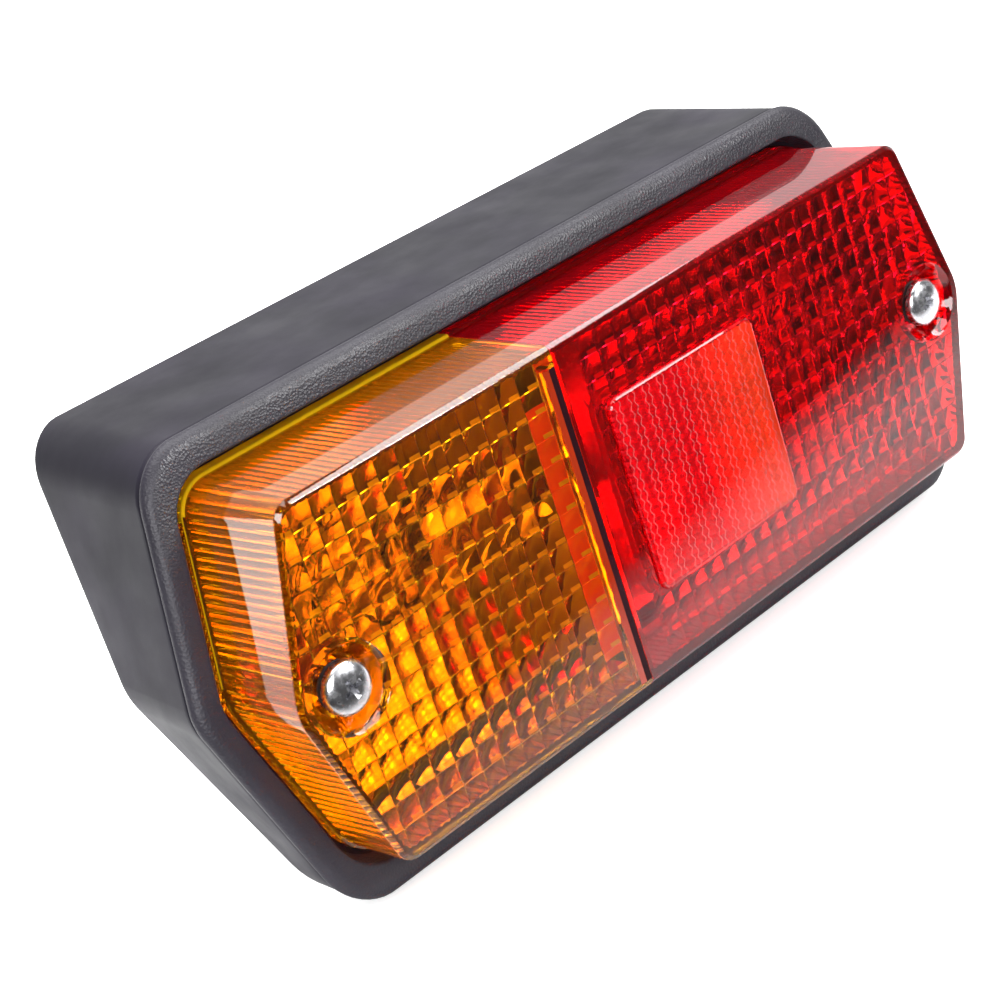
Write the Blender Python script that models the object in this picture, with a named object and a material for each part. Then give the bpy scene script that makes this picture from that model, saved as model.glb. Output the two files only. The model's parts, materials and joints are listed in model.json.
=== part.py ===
"""Wedge-shaped trailer tail light: a six-sided amber and red lens on a black housing.

Frame: X along the lamp, amber end at -X; the flat lens front faces -Y; +Z up. The origin is the centre of the
housing's sloping back face, which leans forward at the bottom: y = BACK_SLOPE * z on that face.
"""
import math

import bmesh
import bpy
from mathutils import Matrix, Vector

MM = 0.001
GAP = 0.3 * MM                    # clearance between touching pieces

# Driving dimensions: the lens.
LENS_DEPTH = 51.4 * MM            # from the lens front to the origin
FRONT_Y = -LENS_DEPTH
LENS_POINT = 100.2 * MM           # half length at the end points of the front face
LENS_CORNER = 89.7 * MM           # half length at its corners
LENS_HALF_HEIGHT = 38.0 * MM
LENS_FRONT_WALL = 2.6 * MM
LENS_SIDE_WALL = 2.2 * MM
FOOT_GROWTH = (0.7 * MM, 1.0 * MM, 1.2 * MM)   # the foot is this much wider at point, corner, height
SEAM_X = -20.9 * MM               # where the amber part meets the red part
PARTITION_DEPTH = 15.4 * MM       # the red part's inner wall at the seam
PARTITION_WALL = 2.0 * MM

# The housing.
BACK_SLOPE = 0.517
TILT = math.atan(BACK_SLOPE)
RIM_SLOPE = 0.188
RIM_Y = -26.9 * MM                # the rim's front plane, on the X axis
HOUSING_POINT = 108.3 * MM
HOUSING_CORNER = 94.3 * MM
HOUSING_HALF_HEIGHT = 48.7 * MM
WALL = 3.0 * MM
RECESS_DEPTH = 3.0 * MM           # channel that takes the gasket and the lens foot
FLANGE = 3.0 * MM                 # thickness of the rim below that channel
PLATE = 0.8 * MM                  # thickness of the socket plate that lines the housing
PLATE_TOP = WALL + GAP + PLATE + GAP      # how far inside the back face a piece on that plate stands

# The reflex reflector.
REFLEX_X = (-11.7 * MM, 31.3 * MM)
REFLEX_HALF_HEIGHT = 21.3 * MM
REFLEX_PROUD = 1.1 * MM

# Lens screws and the posts that take them.
SCREW_X = 88.0 * MM
WELL_RADIUS = 8.5 * MM
WELL_FLOOR_RADIUS = 6.0 * MM
WELL_DEPTH = 4.4 * MM
SCREW_HEAD_RADIUS = 5.0 * MM
SCREW_HEAD_HEIGHT = 3.0 * MM
SCREW_RADIUS = 2.4 * MM
LENS_BOSS_RADIUS = 6.4 * MM
LENS_BOSS_END = -22.5 * MM
POST_RADIUS = 4.5 * MM
HOUSING_BOSS_RADIUS = 5.6 * MM
HOUSING_BOSS_END = -14.0 * MM
POST_SEAT = 6.0 * MM              # depth of the post's seat in the housing's boss

# Bulbs and their holders; distances along each bulb start at its contact and run towards its tip.
BULB_Y = -30.0 * MM
BULB_Z = 8.0 * MM
TURN_BULB_X = -32.0 * MM
STOP_BULB_X = 26.0 * MM
CAP_RADIUS = 7.5 * MM
CAP_LENGTH = 20.0 * MM
GLASS_RADIUS = 12.5 * MM
GLASS_CENTRE = 36.0 * MM
SHELL_INNER = 7.75 * MM
SHELL_OUTER = 8.35 * MM
SHELL_BACK = -7.8 * MM
SHELL_MOUTH = 14.5 * MM
PIN_RADIUS = 1.0 * MM
PIN_REACH = 8.6 * MM
TURN_PINS = (8.4 * MM, 8.4 * MM)          # where the two bayonet pins sit along the cap
STOP_PINS = (8.4 * MM, 11.0 * MM)
BULB_TRAVEL = 2.2 * MM
BULB_TWIST = math.radians(22.0)
TWIN_CONTACT = 3.1 * MM                   # offset of each contact of the two-filament bulb

# Mounting hardware.
BOLT_X = 55.0 * MM
BOLT_RADIUS = 3.0 * MM
BOLT_END = 18.0 * MM
PANEL = 2.5 * MM                          # room for the vehicle's panel between back face and nuts
GROMMET_X = 2.0 * MM
GROMMET_UP = 27.0 * MM                    # up the back face from its centre
GROMMET_RADIUS = 7.0 * MM
GROMMET_FLANGE = 9.2 * MM
GROMMET_SEAT = 1.7 * MM                   # depth of its recess in the back face, so it lies below the face

SMOOTH_ANGLE = math.radians(32.0)
CORNER_STEPS = 4

BLACK = ("housing_plastic", (0.025, 0.024, 0.028), 0.55, 0.0, 0.0)
RUBBER = ("rubber", (0.02, 0.02, 0.02), 0.8, 0.0, 0.0)
AMBER = ("amber_lens", (0.95, 0.33, 0.01), 0.08, 0.0, 0.8)
RED = ("red_lens", (0.8, 0.01, 0.02), 0.08, 0.0, 0.8)
STEEL = ("zinc_steel", (0.72, 0.72, 0.74), 0.25, 1.0, 0.0)
BRIGHT = ("bright_plate", (0.85, 0.85, 0.86), 0.15, 1.0, 0.0)
BRASS = ("brass", (0.8, 0.6, 0.25), 0.3, 1.0, 0.0)
BAKELITE = ("bakelite", (0.12, 0.05, 0.02), 0.45, 0.0, 0.0)
GLASS = ("clear_glass", (0.95, 0.97, 0.98), 0.03, 0.0, 1.0)
TUNGSTEN = ("filament_wire", (0.35, 0.35, 0.36), 0.4, 1.0, 0.0)


# ---------------------------------------------------------------- helpers

def material(kind):
    name, colour, roughness, metallic, transmission = kind
    made = bpy.data.materials.get(name)
    if made is None:
        made = bpy.data.materials.new(name)
        made.use_nodes = True
        shader = made.node_tree.nodes["Principled BSDF"]
        shader.inputs["Base Color"].default_value = (*colour, 1.0)
        shader.inputs["Roughness"].default_value = roughness
        shader.inputs["Metallic"].default_value = metallic
        shader.inputs["Transmission Weight"].default_value = transmission
        made.diffuse_color = (*colour, 1.0)
    return made


def add_object(name, data, kind=None, parent=None, location=(0, 0, 0)):
    obj = bpy.data.objects.new(name, data)
    bpy.context.scene.collection.objects.link(obj)
    obj.parent = parent
    obj.location = location
    if kind:
        data.materials.append(material(kind))
    else:
        obj.hide_render = True
        obj.display_type = "WIRE"
    return obj


def mesh_object(name, bm, kind=None, parent=None, location=(0, 0, 0)):
    bmesh.ops.remove_doubles(bm, verts=bm.verts, dist=1e-7)
    bmesh.ops.recalc_face_normals(bm, faces=bm.faces)
    mesh = bpy.data.meshes.new(name)
    bm.to_mesh(mesh)
    bm.free()
    mesh.shade_smooth()
    mesh.set_sharp_from_angle(angle=SMOOTH_ANGLE)
    return add_object(name, mesh, kind, parent, location)


def boolean(obj, other, operation):
    modifier = obj.modifiers.new(operation.lower() + "_" + other.name, "BOOLEAN")
    modifier.operation = operation
    modifier.solver = "EXACT"
    modifier.object = other


def cut(obj, *cutters):
    for cutter in cutters:
        boolean(obj, cutter, "DIFFERENCE")


def join(obj, *others):
    for other in others:
        boolean(obj, other, "UNION")


def empty(name, location, rotation):
    obj = bpy.data.objects.new(name, None)
    bpy.context.scene.collection.objects.link(obj)
    obj.location = location
    obj.rotation_euler = rotation
    return obj


def rounded(corners, radii, steps=CORNER_STEPS):
    """Corner points (x, z) joined by straight edges, with an arc of its own radius at each corner."""
    points = []
    count = len(corners)
    for index, corner in enumerate(corners):
        corner = Vector(corner)
        before = (Vector(corners[index - 1]) - corner).normalized()
        after = (Vector(corners[(index + 1) % count]) - corner).normalized()
        half = before.angle(after) / 2
        radius = radii[index]
        centre = corner + (before + after).normalized() * radius / math.sin(half)
        start = corner + before * radius / math.tan(half) - centre
        end = corner + after * radius / math.tan(half) - centre
        turn = start.angle_signed(end)
        for step in range(steps + 1):
            angle = -turn * step / steps
            offset = Matrix.Rotation(angle, 2) @ start
            points.append(tuple(centre + offset))
    return points


def hexagon(point, corner, half_height, corner_radius, point_radius=12.0 * MM):
    corners = [
        (point, 0), (corner, half_height), (-corner, half_height),
        (-point, 0), (-corner, -half_height), (corner, -half_height),
    ]
    radii = [point_radius, corner_radius, corner_radius] * 2
    return rounded(corners, radii)


def grown(outline_sizes, amount):
    """The sizes of a hexagon whose edges all lie this much further out."""
    point, corner, half_height = outline_sizes
    side = Vector((corner - point, half_height))
    across = side.length / half_height
    new_height = half_height + amount
    new_point = point + amount * across
    slant = (corner - point) / half_height
    return new_point, new_point + slant * new_height, new_height


def circle_points(radius, count):
    turns = [2 * math.pi * i / count for i in range(count)]
    return [(radius * math.cos(a), radius * math.sin(a)) for a in turns]


def ring(outline, y, slope=0.0):
    """The outline carried onto the plane y + slope * z."""
    return [(x, y + slope * z, z) for x, z in outline]


def loft(name, rings, kind=None, parent=None, closed=False, location=(0, 0, 0)):
    """Rings of equal counts joined by quads; an open stack is capped at both ends."""
    bm = bmesh.new()
    loops = [[bm.verts.new(co) for co in points] for points in rings]
    pairs = list(zip(loops, loops[1:]))
    if closed:
        pairs.append((loops[-1], loops[0]))
    for low, high in pairs:
        for i in range(len(low)):
            j = (i + 1) % len(low)
            bm.faces.new((low[i], low[j], high[j], high[i]))
    if not closed:
        bm.faces.new(loops[0])
        bm.faces.new(loops[-1])
    return mesh_object(name, bm, kind, parent, location)


def turned(name, profile, kind=None, parent=None, segments=20, location=(0, 0, 0)):
    """A solid turned about local Z from a closed profile of (radius, height) points."""
    bm = bmesh.new()
    verts = [bm.verts.new((radius, 0, height)) for radius, height in profile]
    edges = [bm.edges.new((verts[i], verts[i - 1])) for i in range(len(verts))]
    axis_edges = [e for e in edges if all(v.co.x < 1e-9 for v in e.verts)]
    for edge in axis_edges:
        edges.remove(edge)
        bm.edges.remove(edge)
    bmesh.ops.spin(
        bm, geom=verts + edges, cent=(0, 0, 0), axis=(0, 0, 1), steps=segments,
        angle=2 * math.pi, use_merge=True,
    )
    bmesh.ops.remove_doubles(bm, verts=bm.verts, dist=1e-7)
    bm.normal_update()
    poles = [v for v in bm.verts if v.co.xy.length < 1e-7 and abs(v.link_faces[0].normal.z) > 0.9999]
    bmesh.ops.dissolve_verts(bm, verts=poles)
    return mesh_object(name, bm, kind, parent, location)


def cylinder(name, radius, low, high, kind=None, parent=None, segments=20, location=(0, 0, 0)):
    profile = [(0, low), (radius, low), (radius, high), (0, high)]
    return turned(name, profile, kind, parent, segments, location)


def tube(name, inner, outer, low, high, kind=None, parent=None, segments=20, location=(0, 0, 0)):
    profile = [(inner, low), (outer, low), (outer, high), (inner, high)]
    return turned(name, profile, kind, parent, segments, location)


def prism(name, outline, low, high, kind=None, parent=None, location=(0, 0, 0)):
    """An outline of (x, y) points extruded along local Z."""
    rings = [[(x, y, height) for x, y in outline] for height in (low, high)]
    return loft(name, rings, kind, parent, location=location)


def box(name, low, high, kind=None, parent=None):
    outline = [(low[0], low[1]), (high[0], low[1]), (high[0], high[1]), (low[0], high[1])]
    return prism(name, outline, low[2], high[2], kind, parent)


def sector(name, angles, low, high, parent):
    """A cutter that passes a shell's wall between two angles about local Z."""
    inner, outer, steps = SHELL_INNER - 1.5 * MM, SHELL_OUTER + 1.5 * MM, 4
    turns = [angles[0] + (angles[1] - angles[0]) * i / steps for i in range(steps + 1)]
    outline = [(outer * math.cos(a), outer * math.sin(a)) for a in turns]
    outline += [(inner * math.cos(a), inner * math.sin(a)) for a in reversed(turns)]
    return prism(name, outline, low, high, parent=parent)


def wire(name, points, radius, kind, parent=None, location=(0, 0, 0)):
    """A square-section wire through the points, with closed ends."""
    curve = bpy.data.curves.new(name, "CURVE")
    curve.dimensions = "3D"
    curve.bevel_depth = radius
    curve.bevel_resolution = 0
    curve.use_fill_caps = True
    spline = curve.splines.new("POLY")
    spline.points.add(len(points) - 1)
    for point, co in zip(spline.points, points):
        point.co = (*co, 1.0)
    return add_object(name, curve, kind, parent, location)


# ---------------------------------------------------------------- housing

HOUSING_SIZES = (HOUSING_POINT, HOUSING_CORNER, HOUSING_HALF_HEIGHT)
BACK_SIZES = (107.0 * MM, 95.4 * MM, 49.2 * MM)
FRONT_SIZES = (LENS_POINT, LENS_CORNER, LENS_HALF_HEIGHT)
FOOT_SIZES = tuple(size + growth for size, growth in zip(FRONT_SIZES, FOOT_GROWTH))
CAVITY_SIZES = grown(HOUSING_SIZES, -WALL)


def rim_ring(sizes, depth, corner_radius):
    return ring(hexagon(*sizes, corner_radius), RIM_Y + depth, RIM_SLOPE)


def back_ring(sizes, depth, corner_radius):
    """A ring parallel to the back face, this deep inside the housing."""
    return ring(hexagon(*sizes, corner_radius), -depth / math.cos(TILT), BACK_SLOPE)


def build_housing(back):
    recess = grown(FOOT_SIZES, 0.8 * MM)
    seat = grown(FOOT_SIZES, -4.2 * MM)
    underside = RECESS_DEPTH + FLANGE
    rings = [
        back_ring(grown(BACK_SIZES, -1.5 * MM), 0, 13.5 * MM),
        back_ring(grown(BACK_SIZES, -0.4 * MM), 0.4 * MM, 14.6 * MM),
        back_ring(BACK_SIZES, 1.5 * MM, 15.0 * MM),
        rim_ring(grown(HOUSING_SIZES, -0.3 * MM), 4.4 * MM, 12.9 * MM),
        rim_ring(grown(HOUSING_SIZES, -0.9 * MM), 3.6 * MM, 12.3 * MM),
        rim_ring(grown(HOUSING_SIZES, -0.1 * MM), 2.8 * MM, 12.9 * MM),
        rim_ring(HOUSING_SIZES, 2.0 * MM, 13.0 * MM),
        rim_ring(grown(HOUSING_SIZES, -0.6 * MM), 0.7 * MM, 12.4 * MM),
        rim_ring(grown(HOUSING_SIZES, -2.0 * MM), 0, 11.0 * MM),
        rim_ring(grown(recess, 0.6 * MM), 0, 9.6 * MM),
        rim_ring(recess, 0.6 * MM, 9.0 * MM),
        rim_ring(recess, RECESS_DEPTH, 9.0 * MM),
        rim_ring(seat, RECESS_DEPTH, 5.0 * MM),
        rim_ring(seat, underside, 5.0 * MM),
        rim_ring(CAVITY_SIZES, underside, 10.0 * MM),
        back_ring(CAVITY_SIZES, WALL, 10.0 * MM),
    ]
    housing = loft("housing", rings, BLACK)
    for side, x in (("left", -SCREW_X), ("right", SCREW_X)):
        frame = empty(side + "_post_frame", (x, 0, 0), (math.pi / 2, 0, 0))
        circle = [(x + cx, z) for cx, z in circle_points(HOUSING_BOSS_RADIUS, 20)]
        root = ring(circle, -WALL / 2 / math.cos(TILT), BACK_SLOPE)
        boss = loft(side + "_boss", [root, ring(circle, HOUSING_BOSS_END)])
        bore = cylinder(side + "_boss_bore", POST_RADIUS + GAP, -HOUSING_BOSS_END - POST_SEAT,
                        -HOUSING_BOSS_END + 5 * MM, parent=frame)
        join(housing, boss)
        cut(housing, bore)
    for x in (-BOLT_X, BOLT_X):
        cut(housing, cylinder("bolt_hole", BOLT_RADIUS + GAP, -8 * MM, 5 * MM, parent=back,
                              location=(x, 0, 0)))
    place = (GROMMET_X, -GROMMET_UP, 0)
    cut(housing,
        cylinder("grommet_hole", GROMMET_RADIUS, -8 * MM, 5 * MM, parent=back, location=place),
        cylinder("grommet_seat", GROMMET_FLANGE + 0.6 * MM, -GROMMET_SEAT, 6 * MM, parent=back, segments=28,
                 location=place))
    return housing


def build_gasket():
    outer = grown(FOOT_SIZES, 0.4 * MM)
    inner = grown(FOOT_SIZES, -3.8 * MM)
    top, bottom = RECESS_DEPTH - GAP - 1.0 * MM, RECESS_DEPTH - GAP
    loft("lens_gasket", [
        rim_ring(outer, top, 8.6 * MM),
        rim_ring(outer, bottom, 8.6 * MM),
        rim_ring(inner, bottom, 5.4 * MM),
        rim_ring(inner, top, 5.4 * MM),
    ], RUBBER, closed=True)


def build_socket_plate(back):
    """A bright pressed tray that lines the housing and carries the bulb holders."""
    low = WALL + GAP
    floor = (96.0 * MM, 84.0 * MM, 37.7 * MM)
    lip = grown(CAVITY_SIZES, -0.8 * MM)
    lip_depth = RECESS_DEPTH + FLANGE + 0.4 * MM
    plate = loft("socket_plate", [
        back_ring(floor, low, 6.0 * MM),
        rim_ring(lip, lip_depth, 9.2 * MM),
        rim_ring(grown(lip, -PLATE), lip_depth, 8.4 * MM),
        back_ring(grown(floor, -PLATE), low + PLATE, 5.2 * MM),
    ], BRIGHT)
    for side in (-1, 1):
        frame = empty("plate_boss_frame", (side * SCREW_X, 0, 0), (math.pi / 2, 0, 0))
        cut(plate, cylinder("boss_clearance", HOUSING_BOSS_RADIUS + 0.8 * MM, -9 * MM, 30 * MM, parent=frame))
        cut(plate, cylinder("plate_bolt_hole", BOLT_RADIUS + GAP, -9 * MM, 0, parent=back,
                            location=(side * BOLT_X, 0, 0)))
    cut(plate, cylinder("plate_grommet_hole", GROMMET_RADIUS + 2.8 * MM, -9 * MM, 0, parent=back,
                        location=(GROMMET_X, -GROMMET_UP, 0)))
    return plate


def build_divider():
    """A plate under the lens's partition that keeps each bulb's light in its own half."""
    half_height = 33.5 * MM
    front = FRONT_Y + PARTITION_DEPTH + 0.6 * MM
    floor = PLATE_TOP / math.cos(TILT)
    edge = SEAM_X + 0.5 * MM
    outline = [
        (front, -half_height),
        (front, half_height),
        (BACK_SLOPE * half_height - floor, half_height),
        (-BACK_SLOPE * half_height - floor, -half_height),
    ]
    rings = [[(x, y, z) for y, z in outline] for x in (edge, edge + 1.6 * MM)]
    loft("chamber_divider", rings, BLACK)


def build_grommet(back):
    bore, neck, flange = 3.2 * MM, GROMMET_RADIUS - GAP, GROMMET_FLANGE
    under = GAP - GROMMET_SEAT
    turned("cable_grommet", [
        (bore, -GAP), (flange - 0.8 * MM, -GAP), (flange, -GAP - 0.5 * MM), (flange, under), (neck, under),
        (neck, -WALL - GAP), (flange, -WALL - GAP), (flange, -WALL - 1.4 * MM),
        (bore + 2.0 * MM, -WALL - 2.6 * MM), (bore, -WALL - 2.6 * MM),
    ], RUBBER, back, 20, (GROMMET_X, -GROMMET_UP, 0))


def build_posts():
    """Threaded brass posts in the housing's bosses, which take the lens screws."""
    low = -HOUSING_BOSS_END - POST_SEAT + GAP
    high = -LENS_BOSS_END - GAP
    for side, x in (("left", -SCREW_X), ("right", SCREW_X)):
        frame = empty(side + "_insert_frame", (x, 0, 0), (math.pi / 2, 0, 0))
        turned(side + "_screw_post", [
            (0, low), (POST_RADIUS, low), (POST_RADIUS, high - 0.5 * MM), (POST_RADIUS - 0.5 * MM, high),
            (SCREW_RADIUS + GAP, high), (SCREW_RADIUS + GAP, low + 1.2 * MM), (0, low + 1.2 * MM),
        ], BRASS, frame)


def build_mounting(back):
    """Two bolts through the back wall, each with a washer, a spring washer and a nut behind the panel."""
    inside = -PLATE_TOP
    hexagon_radius, head_height, nut_height = 5.77 * MM, 4.0 * MM, 5.0 * MM
    flat, sprung = 1.6 * MM, 1.5 * MM
    hole = BOLT_RADIUS + GAP
    for side, x in (("left", -BOLT_X), ("right", BOLT_X)):
        place = (x, 0, 0)
        bolt = cylinder(side + "_mounting_bolt", BOLT_RADIUS - 0.1 * MM, inside - 1.0 * MM, BOLT_END,
                        STEEL, back, 20, place)
        head = cylinder(side + "_bolt_head", hexagon_radius, inside - head_height, inside, parent=back,
                        segments=6, location=place)
        join(bolt, head)
        tube(side + "_flat_washer", hole, 6.0 * MM, PANEL, PANEL + flat, STEEL, back, 20, place)
        low = PANEL + flat + GAP
        split_ring = tube(side + "_spring_washer", hole, 5.7 * MM, low, low + sprung, STEEL, back, 20, place)
        slit = box(side + "_washer_slit", (2 * MM, -0.4 * MM, PANEL), (8 * MM, 0.4 * MM, PANEL + 6 * MM),
                   parent=back)
        slit.location = place
        cut(split_ring, slit)
        low += sprung + GAP
        nut = cylinder(side + "_nut", hexagon_radius, low, low + nut_height, STEEL, back, 6, place)
        cut(nut, cylinder(side + "_nut_bore", hole, low - 1 * MM, low + nut_height + 1 * MM, parent=back,
                          location=place))


def build_earth_terminal(back):
    """A bent blade riveted to the socket plate."""
    floor = -PLATE_TOP
    thick, length, height, half_width = 0.8 * MM, 8.0 * MM, 9.0 * MM, 3.15 * MM
    outline = [
        (0, floor), (length, floor), (length, floor - thick), (thick, floor - thick),
        (thick, floor - height), (0, floor - height),
    ]
    bm = bmesh.new()
    low = [bm.verts.new((x, -half_width, z)) for x, z in outline]
    face = bm.faces.new(low)
    made = bmesh.ops.extrude_face_region(bm, geom=[face])
    moved = [v for v in made["geom"] if isinstance(v, bmesh.types.BMVert)]
    bmesh.ops.translate(bm, verts=moved, vec=(0, 2 * half_width, 0))
    mesh_object("earth_terminal", bm, BRASS, back, (14.0 * MM, -18.0 * MM, 0))


# ---------------------------------------------------------------- lens

def reflex_outline(amount):
    """The reflector's square outline with round corners, grown by an amount."""
    left, right = REFLEX_X[0] - amount, REFLEX_X[1] + amount
    top = REFLEX_HALF_HEIGHT + amount
    corners = [(right, -top), (right, top), (left, top), (left, -top)]
    return rounded(corners, [2.6 * MM + amount] * 4)


def build_lens_half(name, kind, amber):
    """One half of the lens: a deep cup with sloping foot, screw boss and conical screw well."""
    edge = 1.1 * MM
    foot_depth = 1.4 * MM
    inner_front = grown(FRONT_SIZES, -LENS_SIDE_WALL - 0.2 * MM)
    inner_foot = grown(FOOT_SIZES, -LENS_SIDE_WALL)
    outer = [
        ring(hexagon(*grown(FRONT_SIZES, -edge), 3.2 * MM, 11.0 * MM), FRONT_Y),
        ring(hexagon(*grown(FRONT_SIZES, -0.32 * MM), 3.9 * MM), FRONT_Y + 0.32 * MM),
        ring(hexagon(*FRONT_SIZES, 4.2 * MM), FRONT_Y + edge),
        rim_ring(FOOT_SIZES, foot_depth, 8.0 * MM),
        rim_ring(inner_foot, foot_depth, 6.0 * MM),
        ring(hexagon(*inner_front, 2.4 * MM), FRONT_Y + LENS_FRONT_WALL),
    ]
    lens = loft(name, outer, kind)
    side = -1 if amber else 1
    front = -FRONT_Y
    frame = empty(name + "_screw_frame", (side * SCREW_X, 0, 0), (math.pi / 2, 0, 0))
    boss = turned(name + "_boss", [
        (0, -LENS_BOSS_END), (LENS_BOSS_RADIUS - 0.6 * MM, -LENS_BOSS_END),
        (LENS_BOSS_RADIUS, front - 12 * MM), (WELL_RADIUS + 1.2 * MM, front - 1.6 * MM),
        (0, front - 1.6 * MM),
    ], parent=frame)
    well = turned(name + "_well", [
        (0, front - WELL_DEPTH), (WELL_FLOOR_RADIUS, front - WELL_DEPTH), (WELL_RADIUS, front),
        (WELL_RADIUS + 0.4 * MM, front + 1.0 * MM), (0, front + 1.0 * MM),
    ], parent=frame, segments=28)
    bore = cylinder(name + "_screw_bore", SCREW_RADIUS + 0.5 * MM, -LENS_BOSS_END - 2 * MM,
                    front - 2 * MM, parent=frame)
    join(lens, boss)
    cut(lens, well, bore)
    far = 130 * MM
    if amber:
        cut(lens, box(name + "_trim", (SEAM_X, -far, -far), (far, far, far)))
        return lens
    wall_low = (SEAM_X - 5 * MM, FRONT_Y + 1.2 * MM, -LENS_HALF_HEIGHT + 1.2 * MM)
    wall_high = (SEAM_X + GAP + PARTITION_WALL, FRONT_Y + PARTITION_DEPTH, LENS_HALF_HEIGHT - 1.2 * MM)
    join(lens, box(name + "_partition", wall_low, wall_high))
    cut(lens, box(name + "_trim", (-far, -far, -far), (SEAM_X + GAP, far, far)))
    window = reflex_outline(0.0)
    cut(lens, loft(name + "_window", [ring(window, FRONT_Y - 3 * MM), ring(window, FRONT_Y + 8 * MM)]))
    return lens


def build_reflex():
    """The reflex reflector stands proud in its window and is held by a flange behind the lens wall."""
    front = FRONT_Y - REFLEX_PROUD
    behind = FRONT_Y + LENS_FRONT_WALL + GAP
    loft("reflex_reflector", [
        ring(reflex_outline(-1.6 * MM), front),
        ring(reflex_outline(-GAP), FRONT_Y - 0.1 * MM),
        ring(reflex_outline(-GAP), behind),
        ring(reflex_outline(1.6 * MM), behind),
        ring(reflex_outline(1.6 * MM), behind + 1.6 * MM),
    ], RED)


def build_lens_screws():
    """Cross-head pan screws, each with a rubber washer, on the lens's long axis."""
    front = -FRONT_Y
    seat = front - WELL_DEPTH
    for side, x in (("left", -SCREW_X), ("right", SCREW_X)):
        frame = empty(side + "_screw_axis", (x, 0, 0), (math.pi / 2, 0, 0))
        tube(side + "_screw_washer", SCREW_RADIUS + GAP, SCREW_HEAD_RADIUS, seat + GAP, seat + 0.9 * MM,
             RUBBER, frame)
        under = seat + 0.9 * MM + GAP
        top = under + SCREW_HEAD_HEIGHT
        tip = -LENS_BOSS_END - 9.5 * MM
        head = [
            (SCREW_HEAD_RADIUS - 0.2 * MM, under),
            (SCREW_HEAD_RADIUS, under + 0.3 * MM),
            (SCREW_HEAD_RADIUS - 0.1 * MM, under + 1.2 * MM),
            (SCREW_HEAD_RADIUS - 0.9 * MM, under + 2.3 * MM),
            (SCREW_HEAD_RADIUS - 2.3 * MM, under + 2.85 * MM),
            (0, top),
        ]
        screw = turned(side + "_lens_screw", [
            (0, tip), (SCREW_RADIUS - 0.8 * MM, tip), (SCREW_RADIUS, tip + 1.4 * MM),
            (SCREW_RADIUS, under), *head,
        ], STEEL, frame, 20)
        for turn in (0, 1):
            long_side, short_side = 2.5 * MM, 0.5 * MM
            half = (long_side, short_side) if turn else (short_side, long_side)
            outline = [(-half[0], -half[1]), (half[0], -half[1]), (half[0], half[1]), (-half[0], half[1])]
            taper = [(x_ * 0.45, y_ * 0.8) for x_, y_ in outline]
            recess = [[(x_, y_, top - 1.9 * MM) for x_, y_ in taper],
                      [(x_, y_, top + 0.5 * MM) for x_, y_ in outline]]
            cut(screw, loft("%s_cross_%d" % (side, turn), recess, parent=frame))


# ---------------------------------------------------------------- bulbs and holders

def build_bulb(prefix, axis, pins, contacts, filaments):
    """A bayonet bulb along the axis's local Z, its contact at the origin."""
    cap_wall = 0.5 * MM
    cap = turned(prefix + "_bulb_cap", [
        (5.6 * MM, 1.7 * MM), (CAP_RADIUS - 0.5 * MM, 1.7 * MM), (CAP_RADIUS, 2.2 * MM),
        (CAP_RADIUS, CAP_LENGTH), (CAP_RADIUS - cap_wall, CAP_LENGTH),
        (CAP_RADIUS - cap_wall, 2.3 * MM), (5.6 * MM, 2.3 * MM),
    ], BRASS, axis)
    for index, (height, side) in enumerate(zip(pins, (1, -1))):
        pin = cylinder("%s_bulb_pin_%d" % (prefix, index), PIN_RADIUS, 7.2 * MM, PIN_REACH,
                       parent=axis, segments=12, location=(0, 0, height))
        pin.rotation_euler = (0, side * math.pi / 2, 0)
        join(cap, pin)
    bead = turned(prefix + "_bulb_insulator", [
        (0, 1.2 * MM), (5.3 * MM, 1.2 * MM), (5.3 * MM, 2.6 * MM), (6.5 * MM, 2.6 * MM),
        (6.5 * MM, 4.0 * MM), (0, 4.0 * MM),
    ], BAKELITE, axis)
    for name, offset in contacts:
        radius = 1.7 * MM
        cut(bead, cylinder(name + "_seat", radius + GAP, 0, 6 * MM, parent=axis, segments=16,
                           location=(0, offset, 0)))
        turned(name, [
            (0, 0), (radius - 0.5 * MM, 0), (radius, 0.5 * MM), (radius, 3.6 * MM), (0, 3.6 * MM),
        ], BRASS, axis, 12, (0, offset, 0))
    build_glass(prefix, axis)
    for name, offset, height in filaments:
        wire(name, filament_path(offset, height), 0.22 * MM, TUNGSTEN, axis)


def glass_outline(inset):
    """The glass wall from the neck's end to the tip, moved inwards by an inset."""
    neck, neck_end = 6.6 * MM - inset, 12.0 * MM
    radius = GLASS_RADIUS - inset
    first, steps = math.radians(-52.0), 6
    points = [(neck, neck_end), (neck, CAP_LENGTH + 0.5 * MM)]
    for i in range(steps):
        angle = first + (math.pi / 2 - first) * i / steps
        points.append((radius * math.cos(angle), GLASS_CENTRE + radius * math.sin(angle)))
    points.append((0, GLASS_CENTRE + radius))
    return points


def build_glass(prefix, axis):
    """A ball of glass on a neck that stands in the cap; it is open at the neck's lower end."""
    wall = 0.7 * MM
    profile = glass_outline(0.0) + list(reversed(glass_outline(wall)))
    turned(prefix + "_bulb_glass", profile, GLASS, axis, 16)


def filament_path(offset, height):
    """Up one support, across in a fine zigzag, and down the other support."""
    half, foot, turns = 3.6 * MM, 8.0 * MM, 8
    path = [(-half, offset, foot), (-half, offset, height)]
    for i in range(1, turns):
        x = -half + 2 * half * i / turns
        path.append((x, offset + (0.5 * MM if i % 2 else -0.5 * MM), height + 0.6 * MM))
    path += [(half, offset, height), (half, offset, foot)]
    return path


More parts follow.
